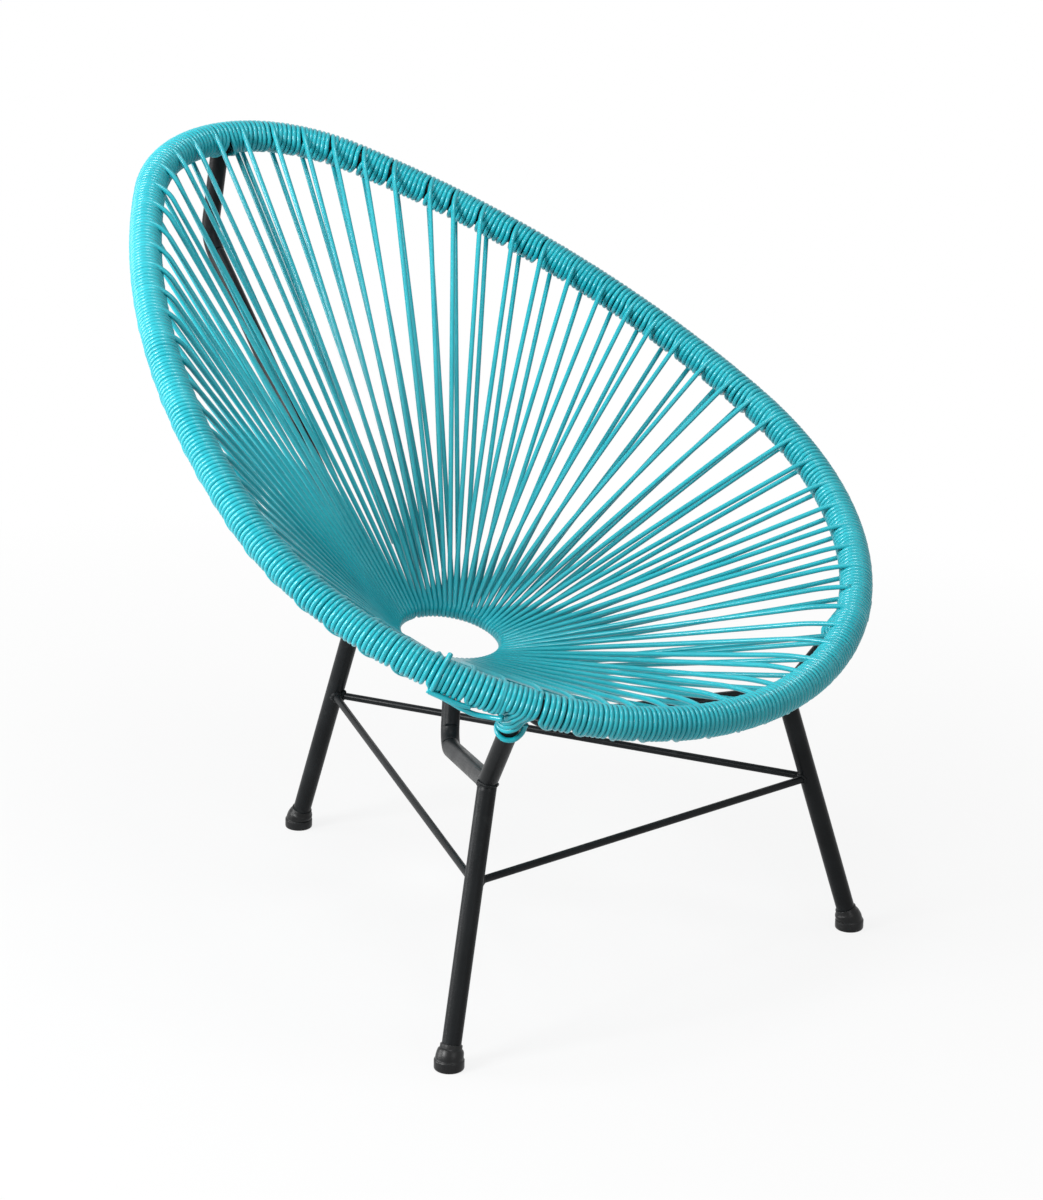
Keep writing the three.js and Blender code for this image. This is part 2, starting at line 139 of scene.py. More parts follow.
def skin(name, grid, along, material):
    """A closed mesh from one grid of points. Row i joins row i + 1 and the last column joins the first; the
    first and the last row are closed by a fan to their own middle. The first UV value of a row is its own
    value in `along`, and the second runs from 0 to 1 round it."""
    rows, columns = grid.shape[:2]
    row = np.arange(rows - 1)[:, None] * columns
    around = np.arange(columns)
    turned = (around + 1) % columns
    quads = np.stack([row + around, row + turned, row + columns + turned, row + columns + around], -1)
    last_row = (rows - 1) * columns
    first = np.stack([turned, around, np.full(columns, rows * columns)], -1)
    last = np.stack([last_row + around, last_row + turned, np.full(columns, rows * columns + 1)], -1)
    faces = quads.reshape(-1, 4).tolist() + first.tolist() + last.tolist()
    middles = np.array([grid[0].mean(0), grid[-1].mean(0)])

    lengthwise = np.broadcast_to(along[:, None], (rows, columns))
    side = np.stack([lengthwise[:-1], lengthwise[:-1], lengthwise[1:], lengthwise[1:]], -1)
    share, next_share = around / columns, around / columns + 1 / columns
    turn = np.broadcast_to(np.stack([share, next_share, next_share, share], -1), side.shape)
    quad_uv = np.stack([side, turn], -1).reshape(-1, 2)
    fan = np.stack([next_share, share, share], -1)
    first_uv = np.stack([np.full(fan.shape, along[0]), fan], -1).reshape(-1, 2)
    last_uv = np.stack([np.full(fan.shape, along[-1]), fan[:, [1, 0, 2]]], -1).reshape(-1, 2)
    return piece_of(name, [grid.reshape(-1, 3), middles], faces, [quad_uv, first_uv, last_uv], material)


# %% [markdown]
# ## The rim as one formula
# The hoop is a flat egg: a small bow at the head, a wide bow at the front and two long side bows, each
# tangent to the next. Its plane leans back. Every turn of the winding needs three directions at any
# distance along that curve: the way on, the way out and the way over. A drawn curve would have to be asked
# for them point by point, so one function gives all three for a whole array of distances.

# %% The egg's four bows and their plane
HEAD_BOW, SIDE_BOW, FRONT_BOW, BOW_SPACING = 0.1867, 0.960, 0.3576, 0.4189
RIM_SLOPE = np.radians(26.93)
RIM_HEAD_HEIGHT = 0.7814
hoop_low, hoop_high = (np.array(corner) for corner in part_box("rim_hoop"))
RIM_MIDDLE_Y = (hoop_low[1] + hoop_high[1]) / 2
ACROSS = np.array([1.0, 0.0, 0.0])
DOWN = np.array([0.0, -np.cos(RIM_SLOPE), -np.sin(RIM_SLOPE)])
OVER = np.array([0.0, -np.sin(RIM_SLOPE), np.cos(RIM_SLOPE)])

head_span, front_span = SIDE_BOW - HEAD_BOW, SIDE_BOW - FRONT_BOW


def corner_angle(a, b, opposite):
    """The angle of a triangle between sides a and b, from the law of cosines."""
    return np.arccos((a**2 + b**2 - opposite**2) / (2 * a * b))


head_turn = corner_angle(head_span, BOW_SPACING, front_span)
side_turn = np.pi - corner_angle(front_span, BOW_SPACING, head_span)
bow_radius = np.array([HEAD_BOW, SIDE_BOW, FRONT_BOW])
bow_from = np.array([0.0, head_turn, side_turn])
bow_to = np.array([head_turn, side_turn, np.pi])
bow_across = np.array([0.0, -head_span * np.sin(head_turn), 0.0])
bow_down = np.array([HEAD_BOW, HEAD_BOW + head_span * np.cos(head_turn), HEAD_BOW + BOW_SPACING])
bow_length = bow_radius * (bow_to - bow_from)
bow_start = np.concatenate([[0.0], np.cumsum(bow_length)])
HALF_RIM = bow_start[-1]
RIM_LENGTH = 2 * HALF_RIM
rim_run = (HEAD_BOW + BOW_SPACING + FRONT_BOW) * np.cos(RIM_SLOPE)
RIM_HEAD = np.array([0.0, RIM_MIDDLE_Y + rim_run / 2, RIM_HEAD_HEIGHT])
print("rim length", round(float(RIM_LENGTH), 4), "m, middle of the rim at y", round(float(RIM_MIDDLE_Y), 4))

# %% Spots on the rim and round it, by the distance along it
SLACK = 0.0012


def rim(distance):
    """The hoop's middle line at a distance from the head towards the sitter's left, with the way on and the
    way out there. On an arc the heading grows by distance / radius; the right half mirrors the left."""
    lap = np.mod(distance, RIM_LENGTH)
    on_right = lap > HALF_RIM
    left = np.where(on_right, RIM_LENGTH - lap, lap)
    which = np.clip(np.searchsorted(bow_start, left, side="right") - 1, 0, 2)
    turn = bow_from[which] + (left - bow_start[which]) / bow_radius[which]
    across = (bow_across[which] + bow_radius[which] * np.sin(turn)) * np.where(on_right, -1, 1)
    down = bow_down[which] - bow_radius[which] * np.cos(turn)
    facing = np.where(on_right, 2 * np.pi - turn, turn)[..., None]
    spot = RIM_HEAD + across[..., None] * ACROSS + down[..., None] * DOWN
    way_on = np.cos(facing) * ACROSS + np.sin(facing) * DOWN
    return spot, way_on, np.sin(facing) * ACROSS - np.cos(facing) * DOWN


def round_rim(distance, angle, reach):
    """A spot round the hoop: angle 0 is straight out, a quarter turn is over it, half a turn is inside. The
    strands pull the winding inwards, so its own middle lies SLACK inside that of the hoop."""
    spot, _, outward = rim(distance)
    facing = np.cos(angle)[..., None] * outward + np.sin(angle)[..., None] * OVER
    return spot - SLACK * outward + np.asarray(reach)[..., None] * facing, facing


print("the front of the rim is at height", rim(np.array([HALF_RIM]))[0][0, 2].round(3), "m")

# %% [markdown]
# ## The ring at the bottom of the bowl
# Seventy turns of cord hang from a steel ring. They sit side by side on its inner edge and have to give
# way to the three tubes that are welded to it: below for the two arms, behind for the spine. Turns spread
# evenly would run through the tubes, so each moves aside by its share, most beside a tube.

# %% Write the ring and the room its tubes take
RING_RADIUS, RING_BAR, RING_HEIGHT, RING_SETBACK = 0.065, 0.012, 0.302, 0.024
RING_TILT = np.radians(13.9)
STATIONS, ARM_STATION = 70, 28
FRONT_END = STATIONS - ARM_STATION
ring_centre = np.array([0.0, RIM_MIDDLE_Y + RING_SETBACK, RING_HEIGHT])
RING_BACK = np.array([0.0, np.cos(RING_TILT), np.sin(RING_TILT)])
RING_OVER = np.array([0.0, -np.sin(RING_TILT), np.cos(RING_TILT)])
TUBE_CLEAR = 0.0128
yield_stations = TUBE_CLEAR / (2 * np.pi * RING_RADIUS / STATIONS)

# How much of that room a turn gives at angles round the bar: 0 is straight out, a quarter turn is over it
yield_angles = np.radians([5, 65, 125, 185, 245, 305, 365])
ARM_YIELD = np.array([1, 0, 0, 0.4, 1, 1, 1])
SPINE_YIELD = np.array([1, 1, 0, 0, 0.4, 1, 1])


def ring_spot(station, out, over):
    """A spot near the ring at a station, out from the bar's middle line and over it, with its radial way."""
    angle = np.pi / 2 - 2 * np.pi * np.asarray(station, float) / STATIONS
    radial = np.cos(angle)[..., None] * ACROSS + np.sin(angle)[..., None] * RING_BACK
    out, over = np.asarray(out), np.asarray(over)[..., None]
    return ring_centre + radial * (RING_RADIUS + out)[..., None] + RING_OVER * over, radial


def give_way(station, angle):
    """The station moved aside for the tubes at both ends of its sector, by each tube's share at that angle
    round the bar, and less the further it is from that tube."""
    start = np.select([station < ARM_STATION, station < FRONT_END], [0, ARM_STATION], FRONT_END)
    end = np.select([station < ARM_STATION, station < FRONT_END], [ARM_STATION, FRONT_END], STATIONS)
    share = (station - start) / (end - start)
    turned = np.mod(angle - yield_angles[0], 2 * np.pi) + yield_angles[0]
    arm_way = np.interp(turned, yield_angles, ARM_YIELD)
    spine_way = np.interp(turned, yield_angles, SPINE_YIELD)
    before = np.where(start == 0, spine_way, arm_way)
    after = np.where(end == STATIONS, spine_way, arm_way)
    return station + yield_stations * (before * (1 - share) - after * share)


print("ring centre", ring_centre.round(4))

# %% [markdown]
# ## The route of one station
# The cord comes down to the ring, turns round its inner edge and goes back up. At the rim it arrives over
# the top, makes about six and a half turns outwards and downwards, and then doubles back under its own
# turns to leave from below. That slanting return makes the small step in the rim's outline at each station.
#
# A curve drawn by hand would do for one station. There are seventy, so all are worked out at once: the first
# direction of every array is the station, the second the place along its cord.

# %% Where each station stands on the rim
CORD = 0.0054
HOOP = 0.022
HAIR = 0.0001
ARM_DISTANCE = 1.061
TURN_PITCH = 0.00534
turn_radius = HOOP / 2 + CORD / 2 + HAIR + SLACK
dice = np.random.default_rng(11)
tube_places = np.array([0.0, ARM_DISTANCE, RIM_LENGTH - ARM_DISTANCE, RIM_LENGTH])

# The hand that laced it was a little early or late: millimetres off the even spacing, from the station that
# each list begins with. The other stations are off by chance.
OFF_BY = {6: [8, 1, -1, 5, 7, 10, 15, 17, 13, 13, 17, 15, 11, 8, 7, 7, 8, 6, 3, 0, -3, -3],
          28: [-3, -3, -2, 2, -1, 5, 2, 3, 4, 6, 7, 1, 2, 0, 2], 49: [5, 4, 5]}
CHANCE_OFF = 1.5
station = np.arange(STATIONS)
place = np.interp(station + 0.5, [0, ARM_STATION, FRONT_END, STATIONS], tube_places)
off_by = dice.normal(0, CHANCE_OFF, STATIONS)
for first_station, millimetres in OFF_BY.items():
    off_by[first_station:first_station + len(millimetres)] = millimetres
place = place + off_by / 1000
spacing = np.diff(np.append(place, place[0] + RIM_LENGTH))
wraps = np.round(spacing / TURN_PITCH)
pitch = spacing / wraps
print("stations", STATIONS, "turns of cord on the rim", int(wraps.sum()))
print("pitch", (pitch.min() * 1e3).round(2), "to", (pitch.max() * 1e3).round(2), "mm")


# %% The turns round the rim, and the way back under them
def ease(x):
    """0 below 0, 1 above 1 and a smooth step between, 3x² - 2x³."""
    x = np.clip(x, 0, 1)
    return x * x * (3 - 2 * x)


def column(values):
    """One value a station, as a column beside the steps of its cord."""
    return np.asarray(values, float)[:, None]


# Where the returning cord comes out, after the station's own place, as the photograph shows it
return_at = np.interp(place, [0, 0.25, 0.40, 0.60, 0.74, 0.86, 0.92, 1.30, 1.70, 2.63],
                      [-0.006, -0.006, 0.002, 0.007, 0.012, 0.018, 0.006, 0.006, 0.006, 0.010])
PAST_TUBE = 0.0175
straddles = np.isin(station, [ARM_STATION - 1, FRONT_END - 1, STATIONS - 1])
crossed = tube_places[1 + np.searchsorted(tube_places[1:-1], place)]
return_at = np.where(straddles, crossed + PAST_TUBE - place, return_at)

# A strand begins before its station's first full turn, at the slant at which it comes from the ring
strand_way = unit(ring_spot(station + 0.5, 0.0, 0.0)[0] - rim(place)[0])
drift, fall = np.sum(strand_way * rim(place)[1], -1), -strand_way @ OVER
start_turn = -np.arctan2(fall, np.sqrt(1 - drift**2 - fall**2)) / (2 * np.pi)

# The last DIVE_TURNS of a turn are the way back, sunk between the turns that it crosses
STEPS, DIVE_STEPS = 150, 14
DIVES_BEFORE, LEAVES_BEFORE, DIVE_TURNS = 0.72, 0.54, 0.18
DIVE_LAYER, DIVE_SHARE, DIVE_CURVE = 0.32, 0.55, 1.6
second_layer = turn_radius + CORD * DIVE_LAYER
dive_turn, leave_turn = wraps - DIVES_BEFORE, wraps - LEAVES_BEFORE
share = np.concatenate([np.linspace(0, 1, STEPS - DIVE_STEPS, endpoint=False),
                        np.linspace(1, 2, DIVE_STEPS)])[None, :]
turns = np.where(share < 1, column(start_turn) + share * column(dive_turn - start_turn),
                 column(dive_turn) + (share - 1) * column(leave_turn - dive_turn))
angle = np.pi / 2 - 2 * np.pi * turns
dive = (turns - column(dive_turn)).clip(0) / DIVE_TURNS

# No turn lies quite like the next: chance at each turn along the rim, and finer chance outwards
SIDE_CHANCE, OUT_CHANCE = 0.00020, 0.00007
each_turn, finer = np.arange(-1, 12), np.linspace(-1, 12, 60)
wobble = np.stack([np.interp(row, each_turn, dice.normal(0, SIDE_CHANCE, len(each_turn))) for row in turns])
wound = column(place) + column(pitch) * turns + wobble
wound = wound - DIVE_SHARE * column(pitch * dive_turn - return_at) * dive**DIVE_CURVE
layer = turn_radius + (second_layer - turn_radius) * ease(dive)
layer = layer + np.interp(turns, finer, dice.normal(0, OUT_CHANCE, len(finer)))
layer = np.where(column(straddles) > 0, turn_radius, layer)
print("points on the turns of one station", turns.shape[1])

# %% [markdown]
# An arriving strand doesn't come square to the rim. It swings over from its own way to that of the turns,
# across the top of its neighbours, and each next turn keeps a part of that swing. Inside the hoop each
# station has one turn less than outside it, so there its turns spread out evenly and leave no gap.

# %% The swing of the arriving strand, and even turns inside the hoop
SETTLED, SWING_SHARE, SWING_KEPT, SWING_RISE = 0.10, 0.35, 0.62, 0.7
nth = np.floor(turns + 0.5)
past_top = turns - nth
leaving = ((SETTLED - past_top) / column(SETTLED - start_turn)).clip(0, 1)
arriving = ((past_top + 0.5) / column(start_turn + 0.5)).clip(0, 1)
swing_arc = 2 * np.pi * turn_radius * column(SETTLED - start_turn)
swing = column(drift / np.sqrt(1 - drift**2)) * swing_arc * SWING_SHARE * (leaving * arriving) ** 2
wound = wound + swing * SWING_KEPT**nth
layer = layer + CORD * SWING_RISE * ease(np.abs(swing) / CORD) * (nth == 0)

# A turn is inside the hoop from 0.45 to 0.05 of a turn before the top, and most inside midway
inside = np.cos(np.pi * np.clip((past_top + 0.25) / 0.4, -0.5, 0.5)) ** 2 * (nth > 0)
even = column(wraps / (wraps - 1)) * (nth - 0.5)
wound = wound + column(pitch) * inside * (even - (nth - 0.25))
print("widest swing", (np.abs(swing).max() * 1e3).round(1), "mm")

# %% [markdown]
# Where a tube is welded under the rim the turns can't go straight down, so they part to both sides of it
# there and bunch up against it. The distance to the tube's middle d becomes the square root of d² + c²,
# which never gets below the clearance c and leaves far turns alone.

# %% Part the turns beside the welded tubes
TUBE = 0.020
KNEE = np.array([0.209, RIM_MIDDLE_Y - 0.281, 0.277])
ELBOW = np.array([0.060, RIM_MIDDLE_Y - 0.048, 0.211])
SPINE_TOP = np.array([0.0, RIM_MIDDLE_Y + 0.453, 0.663])
SPINE_FOOT = np.array([0.0, RIM_MIDDLE_Y + 0.166, 0.333])
MIRROR = np.array([-1.0, 1.0, 1.0])
PARTING, PARTED_ROUND, BUNCH_RISE = 0.0131, np.radians(95), 0.8


def weld_angle(distance, towards):
    """The angle round the hoop at which a tube leaves it for the given spot."""
    spot, _, outward = rim(np.array([distance]))
    way = towards - spot[0]
    return np.arctan2(way @ OVER, way @ outward[0])


weld_towards = (SPINE_TOP, KNEE, KNEE * MIRROR, SPINE_TOP)
weld_angles = np.array([weld_angle(at, towards) for at, towards in zip(tube_places, weld_towards)])
nearest = np.argmin(np.abs(wound[..., None] - tube_places), axis=-1)
aside = wound - tube_places[nearest]
off_weld = np.abs(np.mod(angle - weld_angles[nearest] + np.pi, 2 * np.pi) - np.pi)
parting = PARTING * ease(1.25 - off_weld / PARTED_ROUND)
pushed = np.sqrt(aside**2 + parting**2)
bunched = 1 - np.abs(aside) / np.maximum(pushed, 1e-9)
wound = tube_places[nearest] + np.where(aside < 0, -1, 1) * pushed
layer += CORD * BUNCH_RISE * bunched
windings, winding_up = round_rim(wound, np.broadcast_to(angle, wound.shape), layer)
print("angles of the welds round the rim", np.degrees(weld_angles).round(0))

# %% [markdown]
# A strand is straight, but cord is stiff: it leaves the rim square to it, as the turn before it ran, and
# only then bends towards the ring. The bend is a parabola between two legs of equal length. A plain corner
# would kink the cord, and a soft curve all the way would make the strand hang.


# %% Tools for the strands, and their corners at the rim
def bend(start, corner, towards, leg, steps):
    """Points of the parabola from start past corner to a spot one leg beyond it, on the way to `towards`."""
    end = corner + unit(towards - corner) * leg
    t = np.linspace(0, 1, steps)[None, :, None]
    return (1 - t) ** 2 * start[:, None] + 2 * t * (1 - t) * corner[:, None] + t**2 * end[:, None]


def between(start, end, t):
    """Start and end mixed by the shares t, station by station."""
    t = t[None, :, None]
    return start[:, None] * (1 - t) + end[:, None] * t


def line(start, end, steps):
    """Evenly spaced points from start to end, without either of them."""
    return between(start, end, np.arange(1, steps + 1) / (steps + 1))


# At the front of the chair the strands rise over the rim in wide arcs, so their upper legs are longer there
UNDER_LEG, BEND_STEPS, STRAND_STEPS, RING_TURN_STEPS = 0.005, 8, 6, 10
over_leg = column(np.interp(place, [0.90, 1.06, 1.55, 1.70], [0.010, 0.026, 0.026, 0.010]))
first, last = windings[:, 0], windings[:, -1]
over_corner = first - unit(windings[:, 1] - first) * over_leg
under_corner = last + unit(last - windings[:, -2]) * UNDER_LEG
print("upper legs", over_leg.min(), "to", over_leg.max(), "m")


# %% The turn round the ring, from the lower strand to the upper one
def slope_at_ring(corner, at):
    """How steeply the way from the ring to a corner rises over the ring's plane."""
    middle, radial = ring_spot(at, 0.0, 0.0)
    way = corner - middle
    return np.arctan2(way @ RING_OVER, np.sum(way * radial, -1))


ring_reach = RING_BAR / 2 + CORD / 2 + HAIR
ring_station = station + 0.5
over_slope = slope_at_ring(over_corner, ring_station)
under_slope = np.roll(slope_at_ring(under_corner, np.mod(ring_station + 1, STATIONS)), 1)
under_turn, over_turn = under_slope + 1.5 * np.pi, over_slope + 0.5 * np.pi
share = np.linspace(0, 1, RING_TURN_STEPS)
ring_angle = under_turn[:, None] * (1 - share) + over_turn[:, None] * share
ring_places = give_way(np.broadcast_to(ring_station[:, None], ring_angle.shape), ring_angle)
ring_turns, ring_radial = ring_spot(ring_places, ring_reach * np.cos(ring_angle),
                                    ring_reach * np.sin(ring_angle))
ring_up = np.cos(ring_angle)[..., None] * ring_radial + np.sin(ring_angle)[..., None] * RING_OVER
print("turns on the ring", len(ring_turns), "with", ring_turns.shape[1], "points each")

# %% Strands over and under, and the whole route
over_bend = bend(first, over_corner, ring_turns[:, -1], over_leg, BEND_STEPS)[:, ::-1][:, :-1]
over_line = line(ring_turns[:, -1], over_bend[:, 0], STRAND_STEPS)
landing = np.roll(ring_turns[:, 0], -1, axis=0)
under_bend = bend(last, under_corner, landing, UNDER_LEG, BEND_STEPS)[:, 1:]
under_line = line(under_bend[:, -1], landing, STRAND_STEPS)

over_count = over_line.shape[1] + over_bend.shape[1]
under_count = under_line.shape[1] + under_bend.shape[1]
landing_up = np.roll(ring_up[:, 0], -1, axis=0)
over_up = unit(between(ring_up[:, -1], winding_up[:, 0], np.linspace(0, 1, over_count)))
under_up = unit(between(winding_up[:, -1], landing_up, np.linspace(0, 1, under_count)))
route = np.concatenate([ring_turns, over_line, over_bend, windings, under_bend, under_line], axis=1)
route_up = np.concatenate([ring_up, over_up, winding_up, under_up], axis=1)
steps_a_station = route.shape[1]
lengths = np.linalg.norm(np.diff(route, axis=1), axis=-1).sum(1)
print("cord in all", round(float(lengths.sum()), 1), "m, points a station", steps_a_station)

# %% [markdown]
# ## Shader groups that several finishes share
# Plastic, powder coat and rubber all have a broad change of tone and a fine grain. Each material could carry
# its own copy of those nodes, but one group gives both as plain values, and each finish mixes them into its
# own colour, roughness and bump. A second group gives the mask of scuffs and rubbed spots.


# %% Small helpers for node trees
def node(tree, kind, settings=(), **inputs):
    """A shader node with its settings. An input is a number, a colour, or another node's output; an input
    called _1 is the one numbered 1."""
    made = tree.nodes.new("ShaderNode" + kind)
    for key, value in dict(settings).items():
        setattr(made, key, value)
    for key, value in inputs.items():
        target = made.inputs[int(key[1:])] if key[0] == "_" else made.inputs[key.replace("_", " ")]
        if isinstance(value, bpy.types.NodeSocket):
            tree.links.new(value, target)
        else:
            target.default_value = value
    return made


def mix(tree, factor, first_colour, second_colour):
    """A colour between two others by a factor."""
    return node(tree, "Mix", {"data_type": "RGBA"}, _0=factor, _6=first_colour, _7=second_colour).outputs[2]


def spread_to(tree, value, low, high):
    """A value from 0 to 1 spread to low to high."""
    return node(tree, "MapRange", Value=value, To_Min=low, To_Max=high).outputs[0]


def place_group(tree, group, **inputs):
    """A shared group placed in a material with its own values."""
    return node(tree, "Group", {"node_tree": group}, **inputs).outputs


def shader_group(name, inputs, outputs):
    """An empty group with named inputs and outputs, each given as a pair of a name and a socket type."""
    tree = bpy.data.node_groups.new(name, "ShaderNodeTree")
    for label, kind in inputs:
        tree.interface.new_socket(label, in_out="INPUT", socket_type="NodeSocket" + kind)
    for label, kind in outputs:
        tree.interface.new_socket(label, in_out="OUTPUT", socket_type="NodeSocket" + kind)
    return tree, tree.nodes.new("NodeGroupInput").outputs, tree.nodes.new("NodeGroupOutput").inputs


# %% The two shared groups
tone_group, given, put = shader_group(
    "tone_and_grain",
    [("Vector", "Vector"), ("Tone Scale", "Float"), ("Grain Scale", "Float")],
    [("Tone", "Float"), ("Grain", "Float")])
broad = node(tone_group, "TexNoise", Vector=given["Vector"], Scale=given["Tone Scale"],
             Detail=4.0, Roughness=0.6)
spots = node(tone_group, "MapRange", Value=broad.outputs[0], From_Min=0.3, From_Max=0.7)
fine = node(tone_group, "TexNoise", Vector=given["Vector"], Scale=given["Grain Scale"],
            Detail=2.0, Roughness=0.5)
tone_group.links.new(spots.outputs[0], put["Tone"])
tone_group.links.new(fine.outputs[0], put["Grain"])

scuff_group, given, put = shader_group(
    "scuffs",
    [("Vector", "Vector"), ("Scale", "Float"), ("Amount", "Float")],
    [("Mask", "Float")])
scratch = node(scuff_group, "TexNoise", Vector=given["Vector"], Scale=given["Scale"],
               Detail=6.0, Roughness=0.7)
worn = node(scuff_group, "MapRange", Value=scratch.outputs[0], From_Min=0.58, From_Max=0.72)
part_worn = node(scuff_group, "Math", {"operation": "MULTIPLY"}, _0=worn.outputs[0], _1=given["Amount"])
scuff_group.links.new(part_worn.outputs[0], put["Mask"])


def finish_tree(name):
    """A new material with a bare Principled shader, its tree and its texture coordinates."""
    material = bpy.data.materials.new(name)
    material.use_nodes = True
    tree = material.node_tree
    return material, tree, tree.nodes["Principled BSDF"], tree.nodes.new("ShaderNodeTexCoord").outputs


print("groups", tone_group.name, scuff_group.name)

# %% [markdown]
# ## The turquoise cord
# The cord is extruded PVC: glossy, with faint lines along its length and slow changes of tone where the sun
# has bleached it. One even colour would look like wax. Its pattern follows its own UV map, whose first
# coordinate is the length along the cord in metres, so the lines run along it through every turn.

# %% Build the cord's finish
DEEP_CORD = (0.002, 0.250, 0.307, 1)
FRESH_CORD = (0.006, 0.350, 0.410, 1)
BLEACHED_CORD = (0.050, 0.440, 0.493, 1)
seat_cord, tree, shader, spot = finish_tree("turquoise_pvc_cord")
long_way = node(tree, "Mapping", Vector=spot["UV"], Scale=(24.0, 5.0, 1.0)).outputs[0]
drawn = place_group(tree, tone_group, Vector=long_way, Tone_Scale=1.0, Grain_Scale=5.0)
sun = place_group(tree, tone_group, Vector=spot["Object"], Tone_Scale=7.0, Grain_Scale=420.0)
tone = mix(tree, drawn["Tone"], DEEP_CORD, FRESH_CORD)
tree.links.new(mix(tree, spread_to(tree, sun["Tone"], 0.0, 0.40), tone, BLEACHED_CORD),
               shader.inputs["Base Color"])
tree.links.new(spread_to(tree, drawn["Grain"], 0.28, 0.40), shader.inputs["Roughness"])
lines = node(tree, "Bump", Height=drawn["Grain"], Strength=0.06, Distance=0.0004)
skin_grain = node(tree, "Bump", Height=sun["Grain"], Strength=0.05, Distance=0.0002,
                  Normal=lines.outputs[0])
tree.links.new(skin_grain.outputs[0], shader.inputs["Normal"])
shader.inputs["Coat Weight"].default_value = 0.36
shader.inputs["Coat Roughness"].default_value = 0.15
shader.inputs["Specular IOR Level"].default_value = 0.19
print("finish", seat_cord.name)

# %% [markdown]
# ## The black paint
# The steel has satin powder coat, which is sprayed on as dust and melted, so its surface is an orange peel.
# A bump from fine noise gives that without any more faces, and a mask of rubbed spots keeps it from looking
# new. It follows Object coordinates, so it runs on from tube to tube.

# %% Build the frame's finish
DEEP_PAINT = (0.0055, 0.0062, 0.0068, 1)
PALE_PAINT = (0.0110, 0.0125, 0.0135, 1)
RUBBED_PAINT = (0.030, 0.033, 0.033, 1)
frame_paint, tree, shader, spot = finish_tree("black_powder_coat")
peel = place_group(tree, tone_group, Vector=spot["Object"], Tone_Scale=16.0, Grain_Scale=620.0)
rub = place_group(tree, scuff_group, Vector=spot["Object"], Scale=38.0, Amount=0.35)
paint = mix(tree, peel["Tone"], DEEP_PAINT, PALE_PAINT)
tree.links.new(mix(tree, rub["Mask"], paint, RUBBED_PAINT), shader.inputs["Base Color"])
tree.links.new(spread_to(tree, peel["Tone"], 0.28, 0.42), shader.inputs["Roughness"])
orange_peel = node(tree, "Bump", Height=peel["Grain"], Strength=0.30, Distance=0.0005)
tree.links.new(orange_peel.outputs[0], shader.inputs["Normal"])
shader.inputs["Specular IOR Level"].default_value = 0.10
print("finish", frame_paint.name)

# %% [markdown]
# ## The black feet
# The feet are dull moulded plastic, scuffed where they meet the ground. The scuffs are the shared mask again,
# and its amount grows towards the sole with the height of the spot, so no picture has to be painted.

# %% Build the feet's finish
DEEP_PLASTIC = (0.0040, 0.0043, 0.0046, 1)
PALE_PLASTIC = (0.0090, 0.0095, 0.0100, 1)
SCUFF = (0.060, 0.059, 0.056, 1)
foot_plastic, tree, shader, spot = finish_tree("black_moulded_plastic")
mould = place_group(tree, tone_group, Vector=spot["Object"], Tone_Scale=60.0, Grain_Scale=1400.0)
height = node(tree, "SeparateXYZ", Vector=spot["Object"]).outputs[2]
low = node(tree, "MapRange", Value=height, From_Min=0.014, From_Max=0.0,
           To_Min=0.15, To_Max=0.9).outputs[0]
ground = place_group(tree, scuff_group, Vector=spot["Object"], Scale=180.0, Amount=low)
plastic = mix(tree, mould["Tone"], DEEP_PLASTIC, PALE_PLASTIC)
tree.links.new(mix(tree, ground["Mask"], plastic, SCUFF), shader.inputs["Base Color"])
tree.links.new(spread_to(tree, mould["Grain"], 0.26, 0.44), shader.inputs["Roughness"])
mould_grain = node(tree, "Bump", Height=mould["Grain"], Strength=0.12, Distance=0.0003)
tree.links.new(mould_grain.outputs[0], shader.inputs["Normal"])
shader.inputs["Specular IOR Level"].default_value = 0.20
print("finish", foot_plastic.name)

# %% [markdown]
# ## Sweep the cord
# The route of every station joins the next, so a stretch of stations is one long path, and the tube along it
# is one piece, as the real cord is. One tube for the whole seat would be simpler still, but at the arms the
# cord is lashed in another way. So there are three stretches, and the lashings are pieces of their own.

# %% Three stretches of laced cord
CORD_SIDES = 10
turns_from = ring_turns.shape[1] + over_count
turns_to = turns_from + windings.shape[1]


def cord_along(name, path, up):
    """Cord as one tube along a path, with its own length as the first UV value."""
    return skin(name, tube(path, up, CORD / 2, CORD_SIDES), travelled(path), seat_cord)


LASHED = (ARM_STATION - 1, FRONT_END - 1)
into_lashing = [number * steps_a_station + turns_from + 1 for number in LASHED]
out_of_lashing = [number * steps_a_station + turns_to - 1 for number in LASHED]
stretches = {"left": (0, into_lashing[0], 7), "front": (out_of_lashing[0], into_lashing[1], 3),
             "right": (out_of_lashing[1], STATIONS * steps_a_station, 7)}
for side_name, (first_row, end_row, panels) in stretches.items():
    stretch = slice(first_row, end_row)
    laced = cord_along(f"cord_{side_name}", route.reshape(-1, 3)[stretch], route_up.reshape(-1, 3)[stretch])
    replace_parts(laced, f"rim_winding_{side_name}",
                *(f"cord_panel_{side_name}_{number}" for number in range(1, panels + 1)))

# %% [markdown]
# ## The steel frame
# Each tube is bent cold, so its corners are arcs of one radius between straight runs. The arms run from the
# rim down to a knee, back to an elbow and up to the ring, and the front legs are welded under the knees. A
# smooth curve through the corners would bulge between them, so the arcs are worked out and laid in.


